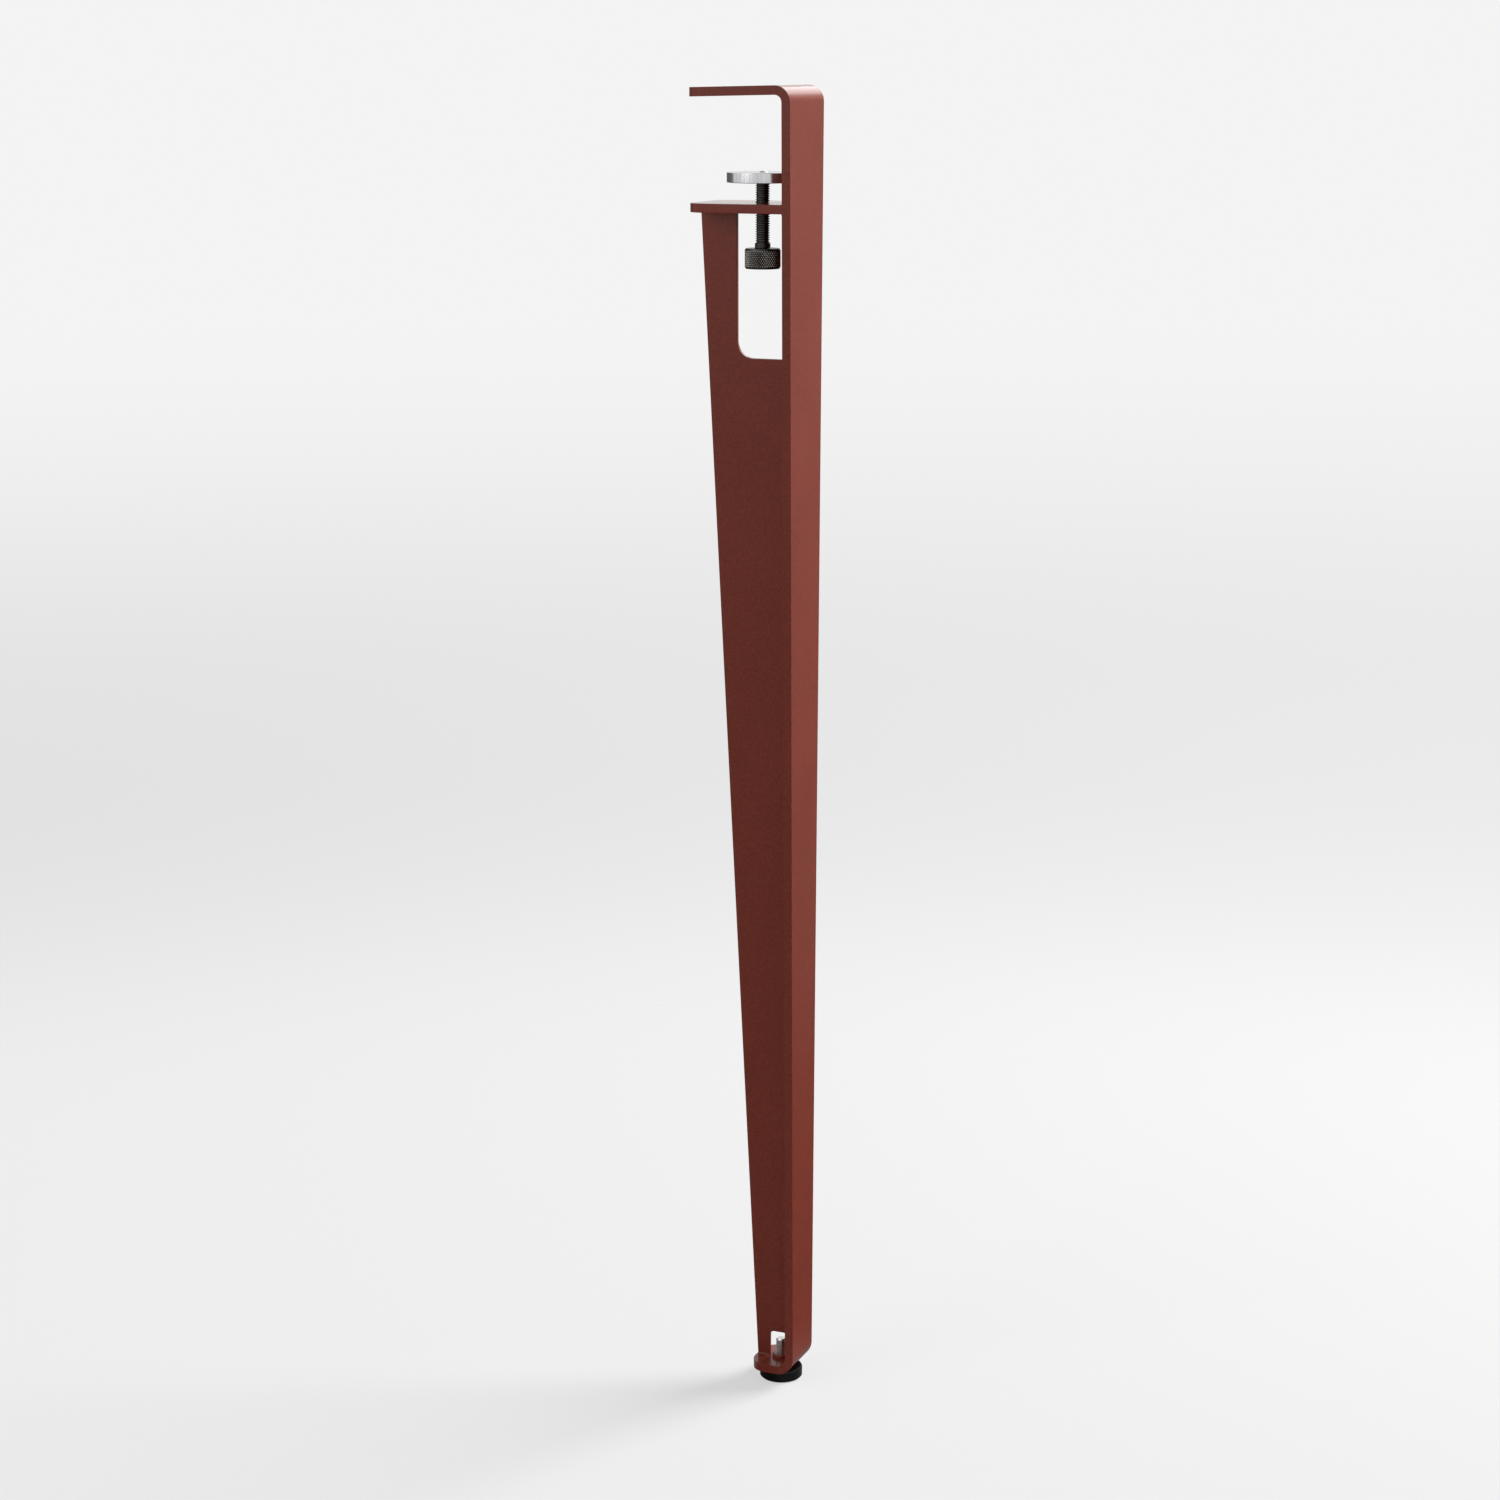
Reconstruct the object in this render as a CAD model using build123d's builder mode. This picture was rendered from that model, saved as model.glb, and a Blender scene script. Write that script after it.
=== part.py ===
from build123d import *
from math import cos, radians, tan
import os

# A clamp-on table leg: one strip of steel is folded into the upper jaw, the spine and the
# foot plate. A web plate stiffens it and carries the lower jaw, through which a screw with
# a knurled knob drives a round pad. A glide on a threaded stud levels it.
#
# Millimetres, +Z up. The origin is on the floor, under the middle of the glide.
# The spine's outer face looks along +X and the jaws reach back along -X. The leg is
# symmetric about Y = 0. Sizes named ..._reach are measured back from that outer face.

# Driving sizes: the folded strip
height = 750.0
sheet = 5.0
head_width = 50.0
foot_width = 30.0
jaw_reach = 62.2
foot_reach = 28.2
jaw_slope = 1.3  # degrees that the upper jaw leans down towards its tip
head_bend = 4.0  # inner radii of the two bends
foot_bend = 5.5
corner = 10.0  # rounding of the jaws' and the foot plate's free corners

# Driving sizes: the web plate
web_sheet = 3.0
web_foot_reach = 27.7
window_reach = 40.9
window_drop = 80.2  # from the lower jaw's underside to the window's sill
window_corner = 9.5
notch_reach = 20.4
notch_height = 15.4
notch_corner = 3.0

# Driving sizes: the clamp
jaw_gap = 58.0  # from the lower jaw's top to the upper jaw's underside at the spine
screw_reach = 26.0
screw_radius = 4.0
screw_chamfer = 0.9
pad_radius = 19.75
pad_thickness = 5.5
pad_lift = 10.9  # how far the pad stands above the lower jaw as stored
rivet_radius = 2.0
rivet_head_radius = 3.0
rivet_rim = 0.5  # the straight side of its head
rivet_dome = 0.9  # the head's dome above that
rivet_seat = 0.6  # the depth that the head is let into the pad
rivet_depth = 6.0
knob_radius = 10.0
knob_height = 11.0
knob_drop = 19.8  # from the lower jaw's underside to the knob's top
hub_radius = 4.3
hub_height = 3.0
socket_flats = 6.0
socket_depth = 4.5
socket_wall = 1.5
rim_chamfer = 0.5

# Driving sizes: the levelling glide
glide_reach = 13.5
glide_radius = 12.5
glide_height = 6.7
glide_rim = 1.0  # rounding of its upper rim, and chamfer of its lower one
stud_radius = 3.0
stud_rise = 16.8  # above the glide's base
stud_floor = 1.5  # of the base, under the stud
stud_chamfer = 0.7
collar_radius = 5.2
collar_height = 2.3
collar_chamfer = 0.8
bush_radius = 4.4

# Fits
running = 0.05  # radial, in a thread or on a pin
seated = 0.02  # radial, where a piece is pressed or locked in
play = 0.1  # along an axis, between faces that turn on each other
room = 0.2  # radial, round the rivet's head
foot_gap = 0.3  # from the glide's base to the foot plate, screwed right in

# Places that follow from the sizes
outer_x = glide_reach
inner_x = outer_x - sheet
screw_x = outer_x - screw_reach
foot_under = glide_height + foot_gap
foot_top = foot_under + sheet
jaw_top = height - sheet - jaw_gap
jaw_under = jaw_top - sheet
notch_top = foot_top + notch_height
window_sill = jaw_under - window_drop
pad_under = jaw_top + pad_lift
pad_top = pad_under + pad_thickness
knob_top = jaw_under - knob_drop
knob_under = knob_top - knob_height
hub_top = knob_top + hub_height
rivet_bore_floor = pad_under - play - rivet_depth
rivet_head_under = pad_top - rivet_seat + play
stud_top = glide_height + stud_rise
bore_floor = knob_under + socket_depth + socket_wall

# The sloping jaw is tangent to the head's bend, whose crown is the highest point.
head_radius = head_bend + sheet
slope = radians(jaw_slope)
head_z = height + head_radius * (tan(slope) + 1 / cos(slope) - 1)


def spine_width(z):
    """The strip's width at height z: it tapers evenly from head to foot."""
    share = (z - foot_under) / (height - foot_under)
    return foot_width + (head_width - foot_width) * share


def section_plane(x):
    """The upright plane through the leg's middle, with its origin over x on the floor."""
    return Plane(origin=(x, 0, 0), x_dir=(1, 0, 0), z_dir=(0, -1, 0))


# Spine: the folded strip's side view is drawn as its outer line, thickened inwards
with BuildPart() as spine:
    with BuildSketch(section_plane(0)) as side_view:
        with BuildLine() as outer_line:
            FilletPolyline(
                (outer_x - jaw_reach, head_z - jaw_reach * tan(slope)),
                (outer_x, head_z),
                (outer_x, foot_under),
                (outer_x - foot_reach, foot_under),
                radius=(head_radius, foot_bend + sheet),
            )
            offset(amount=sheet, side=Side.RIGHT)
        make_face()
    extrude(amount=head_width, both=True)

    # the blank's taper, seen from the outside
    with BuildSketch(Plane.YZ.offset(outer_x)) as taper:
        with BuildLine():
            Polyline(
                (-spine_width(0) / 2, 0),
                (spine_width(0) / 2, 0),
                (spine_width(2 * height) / 2, 2 * height),
                (-spine_width(2 * height) / 2, 2 * height),
                close=True,
            )
        make_face()
    extrude(amount=-2 * jaw_reach, mode=Mode.INTERSECT)

    # the free corners of the jaw and of the foot plate, cut straight down through either
    cut_height = jaw_gap + 2 * sheet
    for reach, width, level in (
        (jaw_reach, spine_width(jaw_top + jaw_gap), jaw_top),
        (foot_reach, spine_width(foot_top), foot_under),
    ):
        with BuildSketch(Plane.XY.offset(level)) as waste:
            with Locations((outer_x - reach, 0)):
                Rectangle(2 * corner, 2 * width)
            with BuildSketch(mode=Mode.SUBTRACT) as tongue:
                with Locations((outer_x - reach / 2, 0)):
                    Rectangle(reach, width)
                fillet(tongue.vertices().sort_by(Axis.X)[:2], radius=corner)
        extrude(amount=cut_height, mode=Mode.SUBTRACT)

    # the bush's hole, and a flat seat for its collar at the root of the bend
    with BuildSketch(Plane.XY.offset(foot_under)):
        Circle(bush_radius + seated)
    extrude(amount=sheet, mode=Mode.SUBTRACT)
    with BuildSketch(Plane.XY.offset(foot_top)):
        Circle(collar_radius + running)
    extrude(amount=sheet, mode=Mode.SUBTRACT)
spine.part.label = "spine"

# Web: a plate in the leg's middle, from the foot plate to the lower jaw
with BuildPart() as web:
    with BuildSketch(section_plane(0)) as outline:
        with BuildLine():
            Polyline(
                (outer_x - web_foot_reach, foot_top),
                (outer_x - notch_reach, foot_top),
                (outer_x - notch_reach, notch_top),
                (inner_x, notch_top),
                (inner_x, window_sill),
                (outer_x - window_reach, window_sill),
                (outer_x - window_reach, jaw_under),
                (outer_x - jaw_reach, jaw_under),
                close=True,
            )
        make_face()
        for inner_corner, radius in (
            ((outer_x - notch_reach, notch_top), notch_corner),
            ((outer_x - window_reach, window_sill), window_corner),
        ):
            fillet(outline.vertices().sort_by_distance(inner_corner)[0], radius=radius)
    extrude(amount=web_sheet / 2, both=True)
web.part.label = "web"

# Lower jaw: as wide as the spine where it is welded on, and tapped for the screw
with BuildPart() as lower_jaw:
    jaw_length = jaw_reach - sheet
    with BuildSketch(Plane.XY.offset(jaw_under)) as plan:
        with Locations((inner_x - jaw_length / 2, 0)):
            Rectangle(jaw_length, spine_width(jaw_under))
        fillet(plan.vertices().sort_by(Axis.X)[:2], radius=corner)
        with Locations((screw_x, 0)):
            Circle(screw_radius + running, mode=Mode.SUBTRACT)
    extrude(amount=sheet)
lower_jaw.part.label = "lower_jaw"

# Clamp screw: a threaded rod, bored at its top for the rivet and chamfered at both ends
with BuildPart() as clamp_screw:
    with BuildSketch(section_plane(screw_x)):
        with BuildLine():
            Polyline(
                (0, bore_floor + play),
                (screw_radius - screw_chamfer, bore_floor + play),
                (screw_radius, bore_floor + play + screw_chamfer),
                (screw_radius, pad_under - play - screw_chamfer),
                (screw_radius - screw_chamfer, pad_under - play),
                (rivet_radius + seated, pad_under - play),
                (rivet_radius + seated, rivet_bore_floor),
                (0, rivet_bore_floor),
                close=True,
            )
        make_face()
    revolve(axis=Axis((screw_x, 0, 0), (0, 0, 1)))
clamp_screw.part.label = "clamp_screw"

# Knurled knob: bored for the screw from above, with a key's socket in its underside
with BuildPart() as knurled_knob:
    with BuildSketch(Plane.XY.offset(knob_under)):
        with Locations((screw_x, 0)):
            Circle(knob_radius)
    extrude(amount=knob_height)
    chamfer(knurled_knob.edges().filter_by(GeomType.CIRCLE), length=rim_chamfer)
    with BuildSketch(Plane.XY.offset(knob_top)):
        with Locations((screw_x, 0)):
            Circle(hub_radius)
    extrude(amount=hub_height)
    with BuildSketch(Plane.XY.offset(bore_floor)):
        with Locations((screw_x, 0)):
            Circle(screw_radius + seated)
    extrude(amount=hub_top - bore_floor, mode=Mode.SUBTRACT)
    with BuildSketch(Plane.XY.offset(knob_under)):
        with Locations((screw_x, 0)):
            RegularPolygon(socket_flats / 2, 6, major_radius=False)
    extrude(amount=socket_depth, mode=Mode.SUBTRACT)
knurled_knob.part.label = "knurled_knob"

# Pad: a turned disc that swivels on the rivet, whose head is let into its top
with BuildPart() as pad_disc:
    with BuildSketch(Plane.XY.offset(pad_under)):
        with Locations((screw_x, 0)):
            Circle(pad_radius)
    extrude(amount=pad_thickness)
    chamfer(pad_disc.edges().filter_by(GeomType.CIRCLE), length=rim_chamfer)
    with BuildSketch(Plane.XY.offset(pad_under)):
        with Locations((screw_x, 0)):
            Circle(rivet_radius + running)
    extrude(amount=pad_thickness, mode=Mode.SUBTRACT)
    with BuildSketch(Plane.XY.offset(pad_top - rivet_seat)):
        with Locations((screw_x, 0)):
            Circle(rivet_head_radius + room)
    extrude(amount=rivet_seat, mode=Mode.SUBTRACT)
pad_disc.part.label = "pad_disc"

# Rivet: its low domed head holds the pad on the end of the screw
with BuildPart() as pad_rivet:
    rim_top = rivet_head_under + rivet_rim
    dome_radius = (rivet_head_radius**2 + rivet_dome**2) / (2 * rivet_dome)
    with BuildSketch(section_plane(screw_x)):
        with BuildLine():
            Polyline(
                (0, rim_top + rivet_dome),
                (0, rivet_bore_floor + play),
                (rivet_radius, rivet_bore_floor + play),
                (rivet_radius, rivet_head_under),
                (rivet_head_radius, rivet_head_under),
                (rivet_head_radius, rim_top),
            )
            RadiusArc((rivet_head_radius, rim_top), (0, rim_top + rivet_dome), -dome_radius)
        make_face()
    revolve(axis=Axis((screw_x, 0, 0), (0, 0, 1)))
pad_rivet.part.label = "pad_rivet"

# Foot bush: pressed into the foot plate, with its collar on top
with BuildPart() as foot_bush:
    with BuildSketch(section_plane(0)):
        with BuildLine():
            Polyline(
                (stud_radius + running, foot_under),
                (bush_radius, foot_under),
                (bush_radius, foot_top),
                (collar_radius, foot_top),
                (collar_radius, foot_top + collar_height - collar_chamfer),
                (collar_radius - collar_chamfer, foot_top + collar_height),
                (stud_radius + running, foot_top + collar_height),
                close=True,
            )
        make_face()
    revolve(axis=Axis.Z)
foot_bush.part.label = "foot_bush"

# Glide's stud
with BuildPart() as glide_stud:
    with BuildSketch(Plane.XY.offset(stud_floor)):
        Circle(stud_radius)
    extrude(amount=stud_top - stud_floor)
    chamfer(glide_stud.edges().sort_by(Axis.Z)[-1], length=stud_chamfer)
glide_stud.part.label = "glide_stud"

# Glide's base: a moulded disc with rounded rims, flat on the floor
with BuildPart() as glide_base:
    with BuildSketch(Plane.XY):
        Circle(glide_radius)
    extrude(amount=glide_height)
    lower_rim, upper_rim = glide_base.edges().filter_by(GeomType.CIRCLE).sort_by(Axis.Z)
    chamfer(lower_rim, length=glide_rim)
    fillet(upper_rim, radius=glide_rim)
    with BuildSketch(Plane.XY.offset(stud_floor - play)):
        Circle(stud_radius + running)
    extrude(amount=glide_height - stud_floor + play, mode=Mode.SUBTRACT)
glide_base.part.label = "glide_base"

os.makedirs("parts", exist_ok=True)
for piece in (
    spine, web, lower_jaw, clamp_screw, knurled_knob,
    pad_disc, pad_rivet, foot_bush, glide_stud, glide_base,
):
    export_step(piece.part, f"parts/{piece.part.label}.step")
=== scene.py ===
# %% [markdown]
# A clamp-on table leg, finished for the camera
#
# The leg is a strip of sheet steel, folded at its head and foot and stiffened by a web.
# A clamp screw with a knurled knob holds it on the edge of a table top, and a levelling
# glide stands under it. The exact sizes come from the CAD model, which is loaded first.
# Blender adds what a CAD model leaves out: rounded paint on the rims, weld seams, threads,
# the knurl, the coating and the light. Everything is in metres, with the origin on the
# floor under the glide and the jaws reaching back along -X.

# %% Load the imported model
from math import asin, ceil, cos, hypot, pi, radians, sin

import bmesh
import bpy
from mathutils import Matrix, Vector


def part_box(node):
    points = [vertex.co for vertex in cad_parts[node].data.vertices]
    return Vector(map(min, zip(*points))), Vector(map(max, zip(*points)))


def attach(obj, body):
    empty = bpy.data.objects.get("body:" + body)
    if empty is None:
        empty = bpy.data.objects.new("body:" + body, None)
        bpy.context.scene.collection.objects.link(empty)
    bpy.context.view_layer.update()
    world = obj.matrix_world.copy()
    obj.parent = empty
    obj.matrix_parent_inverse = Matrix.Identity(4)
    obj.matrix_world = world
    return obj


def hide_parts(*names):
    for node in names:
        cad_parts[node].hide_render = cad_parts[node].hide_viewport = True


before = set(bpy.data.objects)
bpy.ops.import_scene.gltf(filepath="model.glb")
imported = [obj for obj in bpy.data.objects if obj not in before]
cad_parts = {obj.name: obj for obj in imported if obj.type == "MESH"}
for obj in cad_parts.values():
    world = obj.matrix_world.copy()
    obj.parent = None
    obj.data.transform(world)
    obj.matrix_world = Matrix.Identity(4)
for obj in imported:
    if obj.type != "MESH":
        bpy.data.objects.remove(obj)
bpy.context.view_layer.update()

MM = 0.001
print("nodes:", sorted(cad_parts))

# %% [markdown]
# The camera comes first, so that everything after it can be looked at. It stands where the
# photographer stood, 1.7 m away and a little above the leg's head, and it is turned down
# until the leg fills the picture. Turning it, rather than shifting its lens, keeps the leg
# in the middle of the picture in every other view as well. Its place was solved from the
# straight edges in the photograph.

# %% Camera
CAMERA_PLACE = Vector((0.6414, -1.5820, 0.7652))
CAMERA_TURN = radians(22.69)
CAMERA_TILT = radians(12.69)
SENSOR = 36.0
PICTURE_WIDTH = 1500
FOCAL_PIXELS = 3081.8

camera = bpy.data.objects.new("camera", bpy.data.cameras.new("camera"))
bpy.context.scene.collection.objects.link(camera)
camera.data.sensor_width = SENSOR
camera.data.lens = SENSOR * FOCAL_PIXELS / PICTURE_WIDTH
camera.location = CAMERA_PLACE
camera.rotation_euler = (pi / 2 - CAMERA_TILT, 0, CAMERA_TURN)
bpy.context.scene.camera = camera
print(f"lens {camera.data.lens:.1f} mm")

# %% [markdown]
# A material in Blender is a small program drawn as boxes and wires. Typing that program is
# easier with a class that holds one wire. Adding or multiplying wires adds the Math box for
# it, and `node` adds any other box: its settings first, then what goes into its sockets.

# %% A wire between shader nodes
class Wire:
    """One output of a shader node. Sums and products of wires add their own Math nodes."""

    def __init__(self, tree, socket=None):
        self.tree = tree
        self.socket = socket

    def node(self, kind, settings=None, sockets=None, output=0):
        """Adds a node with these settings and socket values, and returns one output."""
        made = self.tree.nodes.new(kind)
        for name, value in (settings or {}).items():
            setattr(made, name, value)
        for name, value in (sockets or {}).items():
            if isinstance(value, Wire):
                self.tree.links.new(value.socket, made.inputs[name])
            else:
                made.inputs[name].default_value = value
        return Wire(self.tree, made.outputs[output] if made.outputs else None)

    def math(self, operation, first, second=0.0):
        return self.node("ShaderNodeMath", {"operation": operation}, {0: first, 1: second})

    def __add__(self, other):
        return self.math("ADD", self, other)

    def __mul__(self, other):
        return self.math("MULTIPLY", self, other)

    def __sub__(self, other):
        return self.math("SUBTRACT", self, other)

    def __rsub__(self, other):
        return self.math("SUBTRACT", other, self)

    __radd__ = __add__
    __rmul__ = __mul__

    def blend(self, dark, light):
        """A colour between two, where this wire says how far."""
        settings = {"data_type": "RGBA"}
        return self.node("ShaderNodeMix", settings, {0: self, 6: dark, 7: light}, 2)


print("wires can be added, subtracted, multiplied and blended")

# %% [markdown]
# Every finish ends in a Principled shader, which `surface` adds last. `new_finish` makes the
# empty material first, and hands back a wire that carries a point's own place on the leg, in
# metres. A grain that reads that place stays put on the piece when the piece moves. `noise`
# is grain of a given size: its scale counts grains to the metre, so it is one over the size.

# %% Finishes: shared helpers
finishes = {}


def new_finish(slot):
    """A new material, as a wire that carries a point's place on the leg."""
    finishes[slot] = bpy.data.materials.new(slot)
    finishes[slot].use_nodes = True
    tree = finishes[slot].node_tree
    tree.nodes.clear()
    return Wire(tree).node("ShaderNodeTexCoord", output="Object")


def noise(place, size, detail=2.0, roughness=0.5):
    """Cloudy grain of this size in metres, from 0 to 1."""
    sockets = {"Vector": place, "Scale": 1 / size, "Detail": detail, "Roughness": roughness}
    return place.node("ShaderNodeTexNoise", None, sockets)


def ramp(wire, start, end):
    """From 0 at start to 1 at end, smoothly."""
    sockets = {"Value": wire, "From Min": start, "From Max": end}
    return wire.node("ShaderNodeMapRange", {"interpolation_type": "SMOOTHSTEP"}, sockets)


def bump(height, distance):
    """The dents that a height from 0 to 1 gives, over this distance in metres."""
    return height.node("ShaderNodeBump", None, {"Height": height, "Distance": distance})


def vector_math(operation, first, second=(0, 0, 0), output=0):
    """A Vector Math node, whose number is its output Value."""
    settings = {"operation": operation}
    return first.node("ShaderNodeVectorMath", settings, {0: first, 1: second}, output)


def surface(place, **sockets):
    """Joins a Principled shader with these sockets to the material's output."""
    named = {name.replace("_", " "): value for name, value in sockets.items()}
    shader = place.node("ShaderNodeBsdfPrincipled", None, named)
    shader.node("ShaderNodeOutputMaterial", None, {"Surface": shader})
    print("finish:", list(finishes)[-1])

# %% [markdown]
# The leg's rust-red coat is a powder that was blown on dry and baked. Such a coat is satin,
# with a fine sandy grain under a thin smooth skin. The grain could be painted as spots, but
# then it would look printed. Here two sizes of noise dent the surface instead. The finer of
# them also shifts the colour and the gloss a little, together with a third and much larger
# one, because no coat is quite even. The skin is the shader's coat layer. It has no dents,
# so it mirrors the surround cleanly where the eye skims the surface, which is why the flat
# plates look pale when seen from their edge.

# %% Finish: powder coat
place = new_finish("powder_coat")
sand = noise(place, 1.2 * MM, 3.0, 0.6)
orange_peel = noise(place, 3.0 * MM, 2.0)
cloud = noise(place, 45 * MM, 3.0)
shade = 0.45 * cloud + 0.55 * ramp(sand, 0.3, 0.7)
surface(
    place,
    Base_Color=shade.blend((0.175, 0.0275, 0.0145, 1), (0.315, 0.0530, 0.0290, 1)),
    Roughness=0.26 + 0.12 * sand,
    Specular_IOR_Level=0.20,
    Coat_Weight=0.75 + 0.15 * cloud,
    Coat_Roughness=0.14,
    Coat_IOR=1.22,
    Normal=bump(sand + 0.8 * orange_peel, 0.010 * MM),
)

# %% [markdown]
# The screw and the knob are blackened steel. The blacking is a thin oxide, so it keeps the
# metal's reflections but makes them dark and slightly warm. Use has rubbed it thin where it
# stands proud: on the crests of the knob's knurl, and a little on those of the thread.
# The distance from the screw's axis says where that is, so the wear follows the shape.

# %% Finish: blackened steel
screw_low, screw_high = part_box("clamp_screw")
screw_axis = (screw_low + screw_high) / 2
screw_radius = (screw_high.x - screw_low.x) / 2
knob_low, knob_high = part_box("knurled_knob")
knob_radius = (knob_high.x - knob_low.x) / 2
GRIP_RUB, GRIP_BARE = 0.26 * MM, 0.02 * MM  # depths where rubbing starts and is full
THREAD_RUB = 0.16 * MM
SCREW_ONLY = 0.1 * MM  # how soon past the screw's radius its own wear stops


def from_axis(place, axis):
    """A point's place seen from an upright axis, and its distance from it."""
    sockets = {"Vector": place, "Location": (-axis.x, -axis.y, 0)}
    centred = place.node("ShaderNodeMapping", {"vector_type": "POINT"}, sockets)
    flat = vector_math("MULTIPLY", centred, (1, 1, 0))
    return centred, vector_math("LENGTH", flat, output="Value")


place = new_finish("black_steel")
centred, across = from_axis(place, screw_axis)
bloom = noise(place, 6 * MM, 3.0)
tooth = noise(place, 0.25 * MM, 2.0)
grip_crest = ramp(across, knob_radius - GRIP_RUB, knob_radius - GRIP_BARE)
thread_crest = ramp(across, screw_radius - THREAD_RUB, screw_radius)
thread_only = 1 - ramp(across, screw_radius, screw_radius + SCREW_ONLY)
rubbed = grip_crest + 0.2 * thread_crest * thread_only
oxide = bloom.blend((0.034, 0.032, 0.030, 1), (0.070, 0.066, 0.062, 1))
surface(
    place,
    Base_Color=(rubbed * (0.6 + 0.4 * bloom)).blend(oxide, (0.95, 0.90, 0.83, 1)),
    Metallic=0.95,
    Roughness=0.30 + 0.16 * bloom,
    Normal=bump(tooth, 0.006 * MM),
)

# %% [markdown]
# The pad was turned on a lathe, whose tool leaves rings: round the rim on its edge, and
# about the middle on its faces. Both come from one number, the distance from the pad's
# axis plus the height. On the rim the distance stays the same and the height makes the
# rings; on a face it is the other way round. Streaks that run up the rim come from noise
# that is stretched along the axis. In the gloss and the dents they are the metal's own, and
# in the colour they are painted reflection: lighter and darker bands that stand in for the
# streaked reflections of a turned rim.

# %% Finish: turned aluminium
RING_PITCH = 0.22 * MM
place = new_finish("turned_aluminium")
centred, across = from_axis(place, screw_axis)
up = vector_math("DOT_PRODUCT", centred, (0, 0, 1), "Value")
rings = up.math("SINE", (across + up) * (2 * pi / RING_PITCH))
streaks_and_painted_reflection = noise(vector_math("MULTIPLY", centred, (1, 1, 0.03)), 1.1 * MM, 3.0, 0.7)
surface(
    place,
    # painted reflection: the colour goes lighter and darker along the stretched streaks, as a
    # turned rim's streaked reflections do
    Base_Color=ramp(streaks_and_painted_reflection, 0.25, 0.75).blend((0.60, 0.60, 0.62, 1), (0.80, 0.80, 0.81, 1)),
    Metallic=1.0,
    Roughness=0.16 + 0.12 * streaks_and_painted_reflection,
    Normal=bump(0.5 * rings + 0.1 * streaks_and_painted_reflection, 0.002 * MM),
)

# %% [markdown]
# The rivet and the glide's stud are bright zinc-plated steel: a slightly warmer metal than
# the pad, with a soft gloss that changes from place to place.

# %% Finish: bright steel
place = new_finish("bright_steel")
plate = noise(place, 2.5 * MM, 3.0)
surface(
    place,
    Base_Color=plate.blend((0.60, 0.59, 0.58, 1), (0.80, 0.79, 0.78, 1)),
    Metallic=1.0,
    Roughness=0.16 + 0.12 * plate,
    Normal=bump(noise(place, 0.3 * MM), 0.004 * MM),
)

# %% [markdown]
# The glide's base is moulded from hard black plastic, satin where the mould was, with
# a few duller patches where it has been pushed over floors.

# %% Finish: black plastic
place = new_finish("black_plastic")
scuff = noise(place, 4 * MM, 4.0, 0.6)
pores = noise(place, 0.4 * MM, 2.0)
surface(
    place,
    Base_Color=scuff.blend((0.003, 0.003, 0.003, 1), (0.008, 0.008, 0.008, 1)),
    Roughness=0.14 + 0.14 * scuff,
    Specular_IOR_Level=0.25,
    Normal=bump(pores, 0.004 * MM),
)

# %% [markdown]
# Each piece is drawn in a bmesh, Blender's workbench for meshes. Recalculating normals can
# turn a piece with deep holes inside out, and then its signed volume is negative, so that
# is measured and put right. Smooth shading would let a narrow rounded rim bend the look of
# the whole flat beside it, so a Weighted Normal modifier lets the large faces win.

# %% Pieces: shared helpers
SHARP = radians(35)  # faces that meet at more than this make an edge
FLAT = radians(0.2)  # faces that meet at less than this are one face
MERGE = 0.0005 * MM  # points nearer than this are one point of a finished piece
CLOSE = 0.001 * MM  # the same in a CAD copy, and where a thread's turns meet
SAME = 0.2 * MM  # heights nearer than this are one height


def add_piece(name, bm, body, slot, *nodes):
    bmesh.ops.remove_doubles(bm, verts=bm.verts, dist=MERGE)
    bmesh.ops.recalc_face_normals(bm, faces=bm.faces)
    if bm.calc_volume(signed=True) < 0:
        bmesh.ops.reverse_faces(bm, faces=bm.faces)
    mesh = bpy.data.meshes.new(name)
    bm.to_mesh(mesh)
    bm.free()
    mesh.materials.append(finishes[slot])
    mesh.shade_smooth()
    mesh.set_sharp_from_angle(angle=SHARP)
    made = bpy.data.objects.new(name, mesh)
    bpy.context.scene.collection.objects.link(made)
    made.modifiers.new("flat faces shade flat", "WEIGHTED_NORMAL").keep_sharp = True
    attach(made, body)
    if nodes:
        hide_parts(*nodes)
    mesh.calc_loop_triangles()
    print(f"{name}: {len(mesh.loop_triangles)} triangles")


def at_height(edge, height):
    """True for an edge whose two ends are at this height."""
    return all(abs(vert.co.z - height) < SAME for vert in edge.verts)


def sharp_edges(bm, keep=lambda edge: True):
    """The edges where two faces meet at more than the sharp angle."""
    return [
        edge for edge in bm.edges
        if edge.is_manifold and edge.calc_face_angle(0) > SHARP and keep(edge)
    ]


def round_edges(bm, edges, radius, segments=3):
    """Rounds these edges, as a file or a coat of paint does."""
    bmesh.ops.bevel(
        bm, geom=edges, offset=radius, offset_type="OFFSET", segments=segments,
        profile=0.5, affect="EDGES", material=-1, clamp_overlap=True,
    )

# %% [markdown]
# The spine, the web and the lower jaw are sheet steel, cut, folded and painted. Paint and
# a deburring wheel leave their rims rounded by a few tenths of a millimetre, and that thin
# round is what catches the light along every edge of the real leg. The CAD model already
# has the exact outlines, so a copy of each is cleaned into whole faces and its rims are
# bevelled. Rims that run into a weld stay sharp under it.

# %% Spine, web and lower jaw
RIM = 0.4 * MM
BUSH_ROOM = 0.3 * MM
jaw_low, jaw_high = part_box("lower_jaw")
web_low, web_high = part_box("web")
bush_low, bush_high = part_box("foot_bush")
inner_x = jaw_high.x
foot_top = web_low.z


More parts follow.
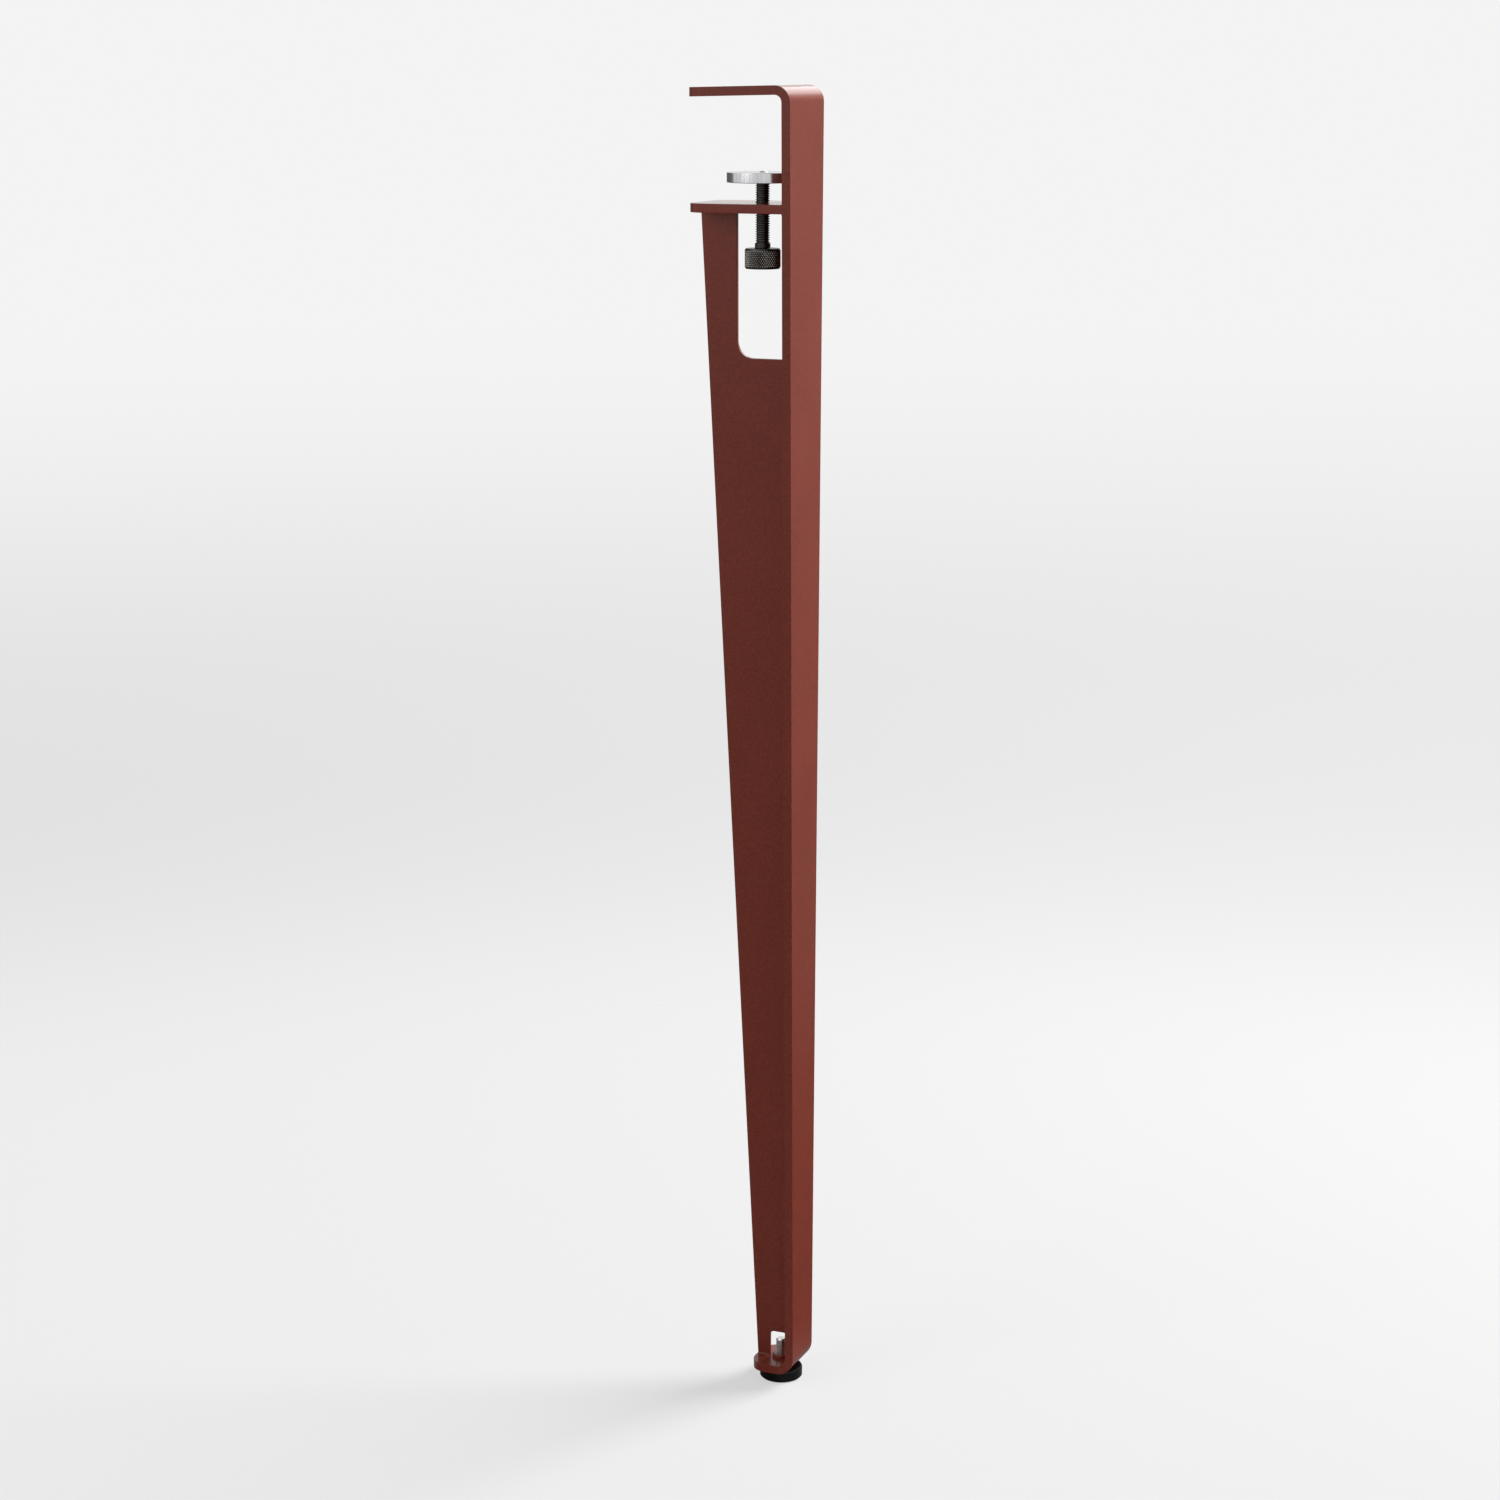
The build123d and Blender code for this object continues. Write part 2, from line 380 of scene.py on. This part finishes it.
def cad_copy(node):
    """A CAD node's mesh with its loose triangles merged into whole flat faces."""
    bm = bmesh.new()
    bm.from_mesh(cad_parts[node].data)
    bmesh.ops.remove_doubles(bm, verts=bm.verts, dist=CLOSE)
    bmesh.ops.dissolve_limit(
        bm, angle_limit=FLAT, verts=bm.verts, edges=bm.edges,
        use_dissolve_boundaries=False,
    )
    return bm


def free_of_spine(edge):
    """True for a rim that isn't welded to the spine's inner face."""
    return not all(abs(vert.co.x - inner_x) < SAME for vert in edge.verts)


def free_of_welds(edge):
    """True for a rim of the web that isn't on any of its three welded edges."""
    welded = at_height(edge, foot_top) or at_height(edge, jaw_low.z)
    return free_of_spine(edge) and not welded


def free_of_bush(edge):
    """True for a rim that isn't round the bush's hole or its seat."""
    middle = (edge.verts[0].co + edge.verts[1].co) / 2
    return hypot(middle.x, middle.y) > bush_high.x + BUSH_ROOM or middle.z > bush_high.z


for node, keep in (
    ("spine", free_of_bush), ("web", free_of_welds), ("lower_jaw", free_of_spine),
):
    sheet = cad_copy(node)
    round_edges(sheet, sharp_edges(sheet, keep), RIM)
    add_piece(f"coated_{node}", sheet, "frame", "powder_coat", node)

# %% [markdown]
# Where two plates meet, the welder leaves a fine seam, dressed smooth and painted over. Its
# section is a triangle with a hollow long side. The hollow is a quarter circle, spun from
# one point; the corner closes it, and the section is then drawn out along the joint.

# %% Weld seams: shared helper
SEAM = 0.9 * MM
SINK = 0.15 * MM
SEAM_END = 0.3 * MM
SEAM_STEPS = 6


def seam(start, end, out, up):
    """A seam from start to end, in the corner between directions out and up."""
    bm = bmesh.new()
    along = (end - start).normalized()
    start, end = start + along * SEAM_END, end - along * SEAM_END
    centre = start + (out + up) * SEAM
    first = bm.verts.new(centre - up * SEAM)
    angle = pi / 2 if out.cross(up).dot(along) < 0 else -pi / 2
    spun = bmesh.ops.spin(
        bm, geom=[first], cent=centre, axis=along, angle=angle, steps=SEAM_STEPS,
    )
    last = next(item for item in spun["geom_last"] if isinstance(item, bmesh.types.BMVert))
    low = bm.verts.new(first.co - up * SINK)
    high = bm.verts.new(last.co - out * SINK)
    corner = bm.verts.new(start - (out + up) * SINK)
    for pair in ((first, low), (low, corner), (corner, high), (high, last)):
        bm.edges.new(pair)
    section = bmesh.ops.contextual_create(bm, geom=bm.edges[:])["faces"]
    drawn = bmesh.ops.extrude_face_region(bm, geom=section)["geom"]
    moved = [item for item in drawn if isinstance(item, bmesh.types.BMVert)]
    bmesh.ops.translate(bm, verts=moved, vec=end - start)
    return bm


print(f"seams are {SEAM / MM:.1f} mm wide")

# %% [markdown]
# The lower jaw is welded to the spine above and below. The web is welded on both its sides:
# to the spine between its notch and its window, to the jaw, and to the foot plate. Each
# seam is given by its two ends and by the two directions in which its corner opens. The
# depths are measured from the spine's inner face, and the heights from the plate nearby.

# %% Weld seams
X, Y, Z = Vector((1, 0, 0)), Vector((0, 1, 0)), Vector((0, 0, 1))
NOTCH_HEIGHT = 15.4 * MM
NOTCH_DEPTH = 15.4 * MM
WINDOW_HEIGHT = 80.2 * MM
WINDOW_DEPTH = 35.9 * MM
WEB_FOOT_DEPTH = 22.7 * MM
for name, height, up in (("top", jaw_high.z, Z), ("under", jaw_low.z, -Z)):
    corner = Vector((inner_x, 0, height))
    half = Y * jaw_high.y
    drawn = seam(corner - half, corner + half, -X, up)
    add_piece(f"seam_jaw_{name}", drawn, "frame", "powder_coat")
for side, out in (("near", -Y), ("far", Y)):
    face = out * web_high.y
    spine_foot = face + X * inner_x + Z * (foot_top + NOTCH_HEIGHT)
    spine_head = face + X * inner_x + Z * (jaw_low.z - WINDOW_HEIGHT)
    jaw_tip = face + X * web_low.x + Z * jaw_low.z
    jaw_root = face + X * (inner_x - WINDOW_DEPTH) + Z * jaw_low.z
    foot_tip = face + X * (inner_x - WEB_FOOT_DEPTH) + Z * foot_top
    foot_root = face + X * (inner_x - NOTCH_DEPTH) + Z * foot_top
    for joint, start, end, up in (
        ("spine", spine_foot, spine_head, -X),
        ("jaw", jaw_tip, jaw_root, -Z),
        ("foot", foot_tip, foot_root, Z),
    ):
        drawn = seam(start, end, out, up)
        add_piece(f"seam_web_{joint}_{side}", drawn, "frame", "powder_coat")

# %% [markdown]
# Several pieces are built ring by ring: a loop of open edges is extruded, and the new loop
# is moved to the next circle, higher, lower, wider or narrower. `grow` does that for a list
# of rings, each a radius and a height. A ring can also be six-sided, for a key's socket.

# %% Rings: shared helpers
def set_ring(axis, verts, radius, height, six_sided=False):
    """Moves a loop of points to a circle, or to a hexagon of that half width."""
    for vert in verts:
        away = Vector((vert.co.x - axis.x, vert.co.y - axis.y))
        reach = radius
        if six_sided:
            heading = Vector((1, 0)).angle_signed(away)
            reach = radius / cos((heading % (pi / 3)) - pi / 6)
        away.normalize()
        vert.co = (axis.x + away.x * reach, axis.y + away.y * reach, height)


def grow(bm, loop, axis, *rings):
    """Extrudes a loop of edges through rings, and returns the last loop."""
    for ring in rings:
        made = bmesh.ops.extrude_edge_only(bm, edges=loop)["geom"]
        loop = [item for item in made if isinstance(item, bmesh.types.BMEdge)]
        set_ring(axis, {vert for edge in loop for vert in edge.verts}, *ring)
    return loop


def open_loop(bm, height):
    """The open edges at this height."""
    return [edge for edge in bm.edges if edge.is_boundary and at_height(edge, height)]


print("rings can be round or six-sided")

# %% [markdown]
# A screw thread is one small notch, carried round the rod and up it at the same time. So
# the notch's profile is repeated up the rod, once for each turn, and spun a full circle
# with a rise of one pitch: each turn ends exactly where the next one starts, and merging
# welds them. The ends are then cut flat and drawn in to a chamfer.

# %% Threads: shared helper
THREAD = ((0.0, 0), (0.2, 0), (0.54, 1), (0.68, 1))  # shares of the pitch and of the depth
THREAD_DEPTH = 0.58  # of the pitch
THREAD_STEPS = 28
CUT = 0.0001 * MM


def threaded_rod(axis, low, high, radius, pitch, chamfer):
    """A rod with a right-hand thread and chamfered ends, which are left open."""
    bm = bmesh.new()
    depth = THREAD_DEPTH * pitch
    points = []
    for lap in range(-2, ceil((high - low) / pitch) + 1):  # with spare turns to cut off
        for share, rise in THREAD:
            height = low + (lap + share) * pitch
            points.append(bm.verts.new((axis.x + radius - depth * (1 - rise), axis.y, height)))
    edges = [bm.edges.new(pair) for pair in zip(points, points[1:])]
    bmesh.ops.spin(
        bm, geom=points + edges, cent=(axis.x, axis.y, 0), axis=(0, 0, 1),
        angle=2 * pi, steps=THREAD_STEPS, dvec=(0, 0, pitch / THREAD_STEPS), use_merge=False,
    )
    bmesh.ops.remove_doubles(bm, verts=bm.verts, dist=CLOSE)
    for height, upper in ((low, False), (high, True)):
        bmesh.ops.bisect_plane(
            bm, geom=bm.verts[:] + bm.edges[:] + bm.faces[:], dist=CUT,
            plane_co=(0, 0, height), plane_no=(0, 0, 1),
            clear_outer=upper, clear_inner=not upper,
        )
    for vert in bm.verts:
        inward = min(vert.co.z - low, high - vert.co.z)
        away = hypot(vert.co.x - axis.x, vert.co.y - axis.y)
        share = min(1, (radius - chamfer + inward) / away)
        vert.co.x = axis.x + (vert.co.x - axis.x) * share
        vert.co.y = axis.y + (vert.co.y - axis.y) * share
    return bm


print(f"a thread is {THREAD_DEPTH} of its pitch deep")

# %% [markdown]
# The clamp screw is a blackened M8 rod, whose thread rises 1.25 mm a turn. Its upper end is
# bored for the rivet's pin. The glide's stud is a bright M6 with a pitch of 1 mm. The fits
# are the CAD model's: a hair of room where a piece is pressed in, a little more where it
# runs, and some play between two faces along the axis.

# %% Clamp screw and glide stud
M8_PITCH, M8_CHAMFER = 1.25 * MM, 0.9 * MM
M6_PITCH, M6_CHAMFER = 1.0 * MM, 0.7 * MM
RIVET_PIN = 2.0 * MM
SEATED, RUNNING, PLAY = 0.02 * MM, 0.05 * MM, 0.1 * MM
origin = Vector((0, 0, 0))
rivet_low, rivet_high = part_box("pad_rivet")
stud_low, stud_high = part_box("glide_stud")

screw = threaded_rod(screw_axis, screw_low.z, screw_high.z, screw_radius, M8_PITCH, M8_CHAMFER)
pin_bore = RIVET_PIN + SEATED
bore_end = grow(
    screw, open_loop(screw, screw_high.z), screw_axis,
    (pin_bore, screw_high.z), (pin_bore, rivet_low.z - PLAY),
)
bmesh.ops.edgeloop_fill(screw, edges=bore_end)
bmesh.ops.edgeloop_fill(screw, edges=open_loop(screw, screw_low.z))
add_piece("threaded_screw", screw, "screw", "black_steel", "clamp_screw")

stud = threaded_rod(origin, stud_low.z, stud_high.z, stud_high.x, M6_PITCH, M6_CHAMFER)
for end in (stud_low.z, stud_high.z):
    bmesh.ops.edgeloop_fill(stud, edges=open_loop(stud, end))
add_piece("threaded_stud", stud, "stud", "bright_steel", "glide_stud")

# %% [markdown]
# The knob's grip is a diamond knurl: two sets of slanting grooves, rolled into the metal by
# a hard wheel. Cutting each groove would be slow. Here a band of squares is poked, which
# gives each square a middle point, and the squares' own edges are dissolved, so that what
# is left is diamonds. Poking those outwards raises a small pyramid on each.

# %% Knurled grip
KNURLS = 48
KNURL_ROWS = 5
KNURL_DEPTH = 0.42 * MM
KNOB_CHAMFER = 0.5 * MM
HUB_RADIUS = 4.3 * MM
HUB_HEIGHT = 3.0 * MM
knob_top = knob_high.z - HUB_HEIGHT
valley = knob_radius - KNURL_DEPTH
grip_low = knob_low.z + KNOB_CHAMFER
grip_high = knob_top - KNOB_CHAMFER
row = (grip_high - grip_low) / KNURL_ROWS

knob = bmesh.new()
bmesh.ops.create_circle(knob, cap_ends=False, segments=KNURLS, radius=1)
bmesh.ops.translate(knob, verts=knob.verts, vec=(screw_axis.x, screw_axis.y, 0))
set_ring(screw_axis, knob.verts, valley, grip_low)
rows = [(valley, grip_low + row * (count + 1)) for count in range(KNURL_ROWS)]
top_loop = grow(knob, knob.edges[:], screw_axis, *rows)
between = [edge for edge in knob.edges if not edge.is_boundary]
for vert in bmesh.ops.poke(knob, faces=knob.faces[:])["verts"]:
    set_ring(screw_axis, [vert], valley, vert.co.z)
bmesh.ops.dissolve_edges(knob, edges=between, use_verts=False)
diamonds = [face for face in knob.faces if len(face.verts) == 4]
bmesh.ops.poke(knob, faces=diamonds, offset=KNURL_DEPTH)
print(f"{len(diamonds)} diamonds on the grip")

# %% [markdown]
# The rest of the knob grows out of the grip's two rims, ring by ring: a chamfer, the top
# face, the hub and the bore for the rod above, and a chamfer, the underside and a six-sided
# socket for a key below, which ends in the cone that the drill left.

# %% Knob: hub, bore and socket
SOCKET_FLAT = 3.0 * MM
SOCKET_DEPTH = 4.5 * MM
DRILL_TIP = 1.0 * MM
DRILL_CONE = 0.6 * MM
EASE = 0.3 * MM
LIP = 0.1 * MM
bore = screw_radius + SEATED
bore_floor = screw_low.z - PLAY
face_radius = knob_radius - KNOB_CHAMFER - LIP
bore_end = grow(
    knob, top_loop, screw_axis,
    (valley, grip_high + LIP), (face_radius, knob_top), (HUB_RADIUS + EASE, knob_top),
    (HUB_RADIUS, knob_top + EASE), (HUB_RADIUS, knob_high.z - EASE),
    (HUB_RADIUS - EASE, knob_high.z), (bore, knob_high.z), (bore, bore_floor),
)
socket_end = grow(
    knob, open_loop(knob, grip_low), screw_axis,
    (valley, grip_low - LIP), (face_radius, knob_low.z),
    (SOCKET_FLAT + 3 * EASE, knob_low.z), (SOCKET_FLAT + EASE, knob_low.z, True),
    (SOCKET_FLAT, knob_low.z + EASE, True), (SOCKET_FLAT, knob_low.z + SOCKET_DEPTH, True),
    (DRILL_TIP, knob_low.z + SOCKET_DEPTH + DRILL_CONE),
)
bmesh.ops.edgeloop_fill(knob, edges=bore_end)
bmesh.ops.edgeloop_fill(knob, edges=socket_end)
add_piece("knurled_grip", knob, "screw", "black_steel", "knurled_knob")

# %% [markdown]
# The pad, the rivet, the bush and the glide's base are all round, so each is half a section
# spun about its axis. `outline` draws the section as straight lines from point to point,
# and `turn` spins it. A section with a bore ends where it began, and merging closes it.

# %% Turned pieces: shared helpers
ROUND_STEPS = 96
SOFT_SEGMENTS = 5  # for the two rims that are rounded most


def outline(bm, axis, profile, start=None):
    """Draws lines through points, each a radius and a height, on from a start if given."""
    points = [start] if start else []
    points += [bm.verts.new((axis.x + radius, axis.y, height)) for radius, height in profile]
    for pair in zip(points, points[1:]):
        bm.edges.new(pair)


def turn(bm, axis):
    """Spins the half section on the bench all the way round an upright axis."""
    bmesh.ops.spin(
        bm, geom=bm.verts[:] + bm.edges[:], cent=(axis.x, axis.y, 0), axis=(0, 0, 1),
        angle=2 * pi, steps=ROUND_STEPS, use_merge=True,
    )
    bmesh.ops.remove_doubles(bm, verts=bm.verts, dist=MERGE)
    bmesh.ops.recalc_face_normals(bm, faces=bm.faces)


def outer_rims(bm, axis, radius):
    """The sharp edges that lie outside this radius."""
    return sharp_edges(bm, lambda edge: all(
        hypot(vert.co.x - axis.x, vert.co.y - axis.y) > radius for vert in edge.verts))


print(f"turned pieces have {ROUND_STEPS} sides")

# %% [markdown]
# The pad is a thick disc with a hole for the rivet's pin and a shallow seat for its head.
# Its sharp corners are drawn first and rounded after, as a lathe hand does with a file.

# %% Pad
PAD_RIM = 0.35 * MM
RIVET_SEAT = 0.6 * MM
HEAD_ROOM = 0.2 * MM
pad_low, pad_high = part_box("pad_disc")
pad_radius = (pad_high.x - pad_low.x) / 2
head_radius = (rivet_high.x - rivet_low.x) / 2
seat_radius = head_radius + HEAD_ROOM
seat_floor = pad_high.z - RIVET_SEAT
pin_hole = RIVET_PIN + RUNNING
pad = bmesh.new()
outline(pad, screw_axis, [
    (pin_hole, pad_low.z), (pad_radius, pad_low.z), (pad_radius, pad_high.z),
    (seat_radius, pad_high.z), (seat_radius, seat_floor), (pin_hole, seat_floor),
    (pin_hole, pad_low.z),
])
turn(pad, screw_axis)
round_edges(pad, outer_rims(pad, screw_axis, pad_radius / 2), PAD_RIM)
add_piece("turned_pad", pad, "pad", "turned_aluminium", "pad_disc")

# %% [markdown]
# The rivet's head is a low dome. Its curve is part of a circle, spun from the top point down
# to the head's rim in the upright plane, before the whole section is spun about the axis.

# %% Rivet
DOME = 0.9 * MM
DOME_STEPS = 8
head_under = seat_floor + PLAY
bulge = (head_radius**2 + DOME**2) / (2 * DOME)
rivet = bmesh.new()
crown = rivet.verts.new((screw_axis.x, screw_axis.y, rivet_high.z))
curve = bmesh.ops.spin(
    rivet, geom=[crown], cent=(screw_axis.x, screw_axis.y, rivet_high.z - bulge),
    axis=(0, 1, 0), angle=asin(head_radius / bulge), steps=DOME_STEPS,
)
brim = next(item for item in curve["geom_last"] if isinstance(item, bmesh.types.BMVert))
outline(rivet, screw_axis, [
    (head_radius, head_under), (RIVET_PIN, head_under), (RIVET_PIN, rivet_low.z),
    (0, rivet_low.z),
], brim)
turn(rivet, screw_axis)
add_piece("domed_rivet", rivet, "screw", "bright_steel", "pad_rivet")

# %% [markdown]
# The bush is pressed into the foot plate and painted with it, so its collar has the coat's
# own soft corners. The stud runs in it with a little room.

# %% Bush
COLLAR_RIM = 0.75 * MM
BUSH_RADIUS = 4.4 * MM
stud_hole = stud_high.x + RUNNING
bush = bmesh.new()
outline(bush, origin, [
    (stud_hole, bush_low.z), (BUSH_RADIUS, bush_low.z), (BUSH_RADIUS, foot_top),
    (bush_high.x, foot_top), (bush_high.x, bush_high.z), (stud_hole, bush_high.z),
    (stud_hole, bush_low.z),
])
turn(bush, origin)
collar = sharp_edges(bush, lambda edge: at_height(edge, bush_high.z))
round_edges(bush, collar, COLLAR_RIM, SOFT_SEGMENTS)
add_piece("painted_bush", bush, "frame", "powder_coat", "foot_bush")

# %% [markdown]
# The glide's base is a moulded disc with a blind hole for the stud. Its lower rim is cut
# back, so that it slides over a floor's joints, and its upper rim is well rounded: that
# round carries the thin bright arc of light on the finished glide.

# %% Glide base
GLIDE_RIM = 1.0 * MM
base_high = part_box("glide_base")[1]
hole_floor = stud_low.z - PLAY
base = bmesh.new()
outline(base, origin, [
    (0, 0), (base_high.x - GLIDE_RIM, 0), (base_high.x, GLIDE_RIM),
    (base_high.x, base_high.z), (stud_hole, base_high.z), (stud_hole, hole_floor),
    (0, hole_floor),
])
turn(base, origin)
upper_rim = [
    edge for edge in outer_rims(base, origin, base_high.x / 2)
    if at_height(edge, base_high.z)
]
round_edges(base, upper_rim, GLIDE_RIM, SOFT_SEGMENTS)
add_piece("moulded_base", base, "glide", "black_plastic", "glide_base")

# %% [markdown]
# The studio is a pale floor that fades into a pale surround, so that there is no horizon
# behind the leg. Near the foot the floor's own paper colour takes the leg's soft shadow, and
# a light of its own, which only the camera sees, brings it up to the white of studio paper.
# Further out it turns clear and the surround shows. Behind the leg on the right lies a dark
# card, which only shows in reflections: photographers put one where a satin coat would
# otherwise mirror white paper and look washed out. The leg is held still and its glide
# screws out downwards, so the floor rides on the stud: it stays under the glide.

# %% Floor
BLACK, WHITE = (0, 0, 0, 1), (1, 1, 1, 1)
FLOOR_RADIUS = 3.0
FADE_START, FADE_END = 0.3, 1.2
PAPER, PAPER_SEEN_LESS = 0.50, 0.17
GLOW, GLOW_LEAN = 0.55, 0.08
RIGHT = (cos(CAMERA_TURN), sin(CAMERA_TURN), 0)  # towards the picture's right
CARD_SIDE = (0.643, 0.766, 0)  # 50 degrees from +X to +Y


def ray(tree, kind):
    """1 for the rays of this kind, and 0 for all others."""
    return Wire(tree).node("ShaderNodeLightPath", output=f"Is {kind} Ray")


def towards(wire, direction):
    """How far a place or a direction reaches in another direction."""
    return vector_math("DOT_PRODUCT", wire, direction, "Value")


floor_bm = bmesh.new()
bmesh.ops.create_circle(floor_bm, cap_ends=True, segments=ROUND_STEPS, radius=FLOOR_RADIUS)
floor_mesh = bpy.data.meshes.new("floor")
floor_bm.to_mesh(floor_mesh)
floor_bm.free()
floor = bpy.data.objects.new("floor", floor_mesh)
bpy.context.scene.collection.objects.link(floor)
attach(floor, "stud")

place = new_finish("floor")
card_shade = 0.15 + 0.30 * ramp(towards(place, CARD_SIDE), -0.02, 0.10)
mirrored_less = card_shade * ray(place.tree, "Glossy")
seen_less = PAPER_SEEN_LESS * ray(place.tree, "Camera")
paper_level = PAPER - mirrored_less - seen_less
glow_level = GLOW - GLOW_LEAN * towards(place, RIGHT)
paper = place.node("ShaderNodeBsdfDiffuse", None, {"Color": paper_level.blend(BLACK, WHITE)})
glow = place.node("ShaderNodeEmission", None, {"Color": glow_level.blend(BLACK, WHITE)})
lit = place.node("ShaderNodeAddShader", None, {0: paper, 1: glow})
shown = place.node("ShaderNodeMixShader", None, {0: ray(place.tree, "Camera"), 1: paper, 2: lit})
clear = place.node("ShaderNodeBsdfTransparent")
fade = ramp(vector_math("LENGTH", place, output="Value"), FADE_START, FADE_END)
faded = place.node("ShaderNodeMixShader", None, {0: fade, 1: shown, 2: clear})
faded.node("ShaderNodeOutputMaterial", None, {"Surface": faded})
floor_mesh.materials.append(finishes["floor"])
print(f"floor: {FLOOR_RADIUS:.1f} m in radius")

# %% [markdown]
# The surround is the world itself, and it is three things at once. What lights the leg is
# a nearly even grey. What the camera sees is nearly white, with a soft darker band where
# studio paper turns up from the floor to the wall, and below that it leans from darker on
# the left to lighter on the right. What the metal mirrors is the same surround, dimmer
# towards the floor and over the dark card, with a dark flag on the left: that one draws the
# dark line down the edge of the bright pad. Light Path tells the three apart.

# %% World
FLAG_SIDE = (-0.906, 0.423, 0)  # 155 degrees from +X to +Y
BACKDROP, BAND_DEPTH, LEAN = 0.900, 0.105, 0.10
AMBIENT, AMBIENT_LEAN = 0.226, 0.06
FLAG_DEPTH, CARD_DEPTH = 0.85, 0.66
world = bpy.data.worlds.new("studio")
bpy.context.scene.world = world
world.use_nodes = True
tree = world.node_tree
tree.nodes.clear()
direction = Wire(tree).node("ShaderNodeTexCoord", output="Generated")
rise = towards(direction, (0, 0, 1))
sideways = towards(direction, RIGHT)
band = ramp(rise, -0.08, -0.20) * (1 - ramp(rise, -0.22, -0.33))
lean = (ramp(sideways, -0.3, 0.3) - 0.5) * ramp(rise, -0.10, -0.28)
backdrop = BACKDROP - BAND_DEPTH * band + LEAN * lean
flag = ramp(towards(direction, FLAG_SIDE), 0.84, 0.90)
card = ramp(towards(direction, CARD_SIDE), 0.6, 0.95)
below = 0.45 + 0.55 * ramp(rise, -0.25, 0.02)
mirrored = backdrop * below * (1 - FLAG_DEPTH * flag) * (1 - CARD_DEPTH * card)
ambient = AMBIENT - AMBIENT_LEAN * sideways
camera_ray = ray(tree, "Camera")
glossy_ray = ray(tree, "Glossy")
level = camera_ray * backdrop + glossy_ray * mirrored + (1 - camera_ray - glossy_ray) * ambient
surround = direction.node("ShaderNodeBackground", None, {"Color": level.blend(BLACK, WHITE)})
surround.node("ShaderNodeOutputWorld", None, {"Surface": surround})
print("surround: a pale wall, with an even grey light")

# %% [markdown]
# Large soft lamps light the leg. The key stands high on the right, a little behind the
# leg: it lights the spine's outer face, leaves the side nearer the camera in half shade and
# throws the faint shadow to the left. Every flat face that mirrored it would burn out to
# white, so gloss doesn't see it, but sees a dimmer twin in its place. A weak lamp on the
# front left keeps the shaded side lighter at its head than at its foot. The one at the back
# is only mirrored too, as the pale sheen along the crown of the bend.

# %% Lamps
KEY_STAND = (45, 35, 2.2, 0.43, 1.3)  # from azimuth to size, the same for both keys


def lamp(name, azimuth, elevation, distance, aim_height, size, radiance):
    """A square soft lamp that looks at the leg from a side and a height in degrees."""
    light = bpy.data.lights.new(name, "AREA")
    light.shape = "SQUARE"
    light.size = size
    light.energy = radiance * pi * size**2
    turned, lift = radians(azimuth), radians(elevation)
    level_out = Vector((cos(turned), sin(turned), 0))
    out = level_out * cos(lift) + Z * sin(lift)
    made = bpy.data.objects.new(name, light)
    made.location = Z * aim_height + out * distance
    made.rotation_euler = out.to_track_quat("Z", "Y").to_euler()
    made.visible_camera = False
    bpy.context.scene.collection.objects.link(made)
    print(f"{name} lamp: {light.energy:.0f} W")
    return made


lamp("key", *KEY_STAND, radiance=12.6).visible_glossy = False
lamp("key_sheen", *KEY_STAND, radiance=3.0).visible_diffuse = False
lamp("front", -122, 13, 1.6, 0.85, 0.9, 1.9)
lamp("back", 89, 21, 2.4, 0.75, 1.1, 1.9).visible_diffuse = False

bpy.context.scene.view_settings.view_transform = "Standard"
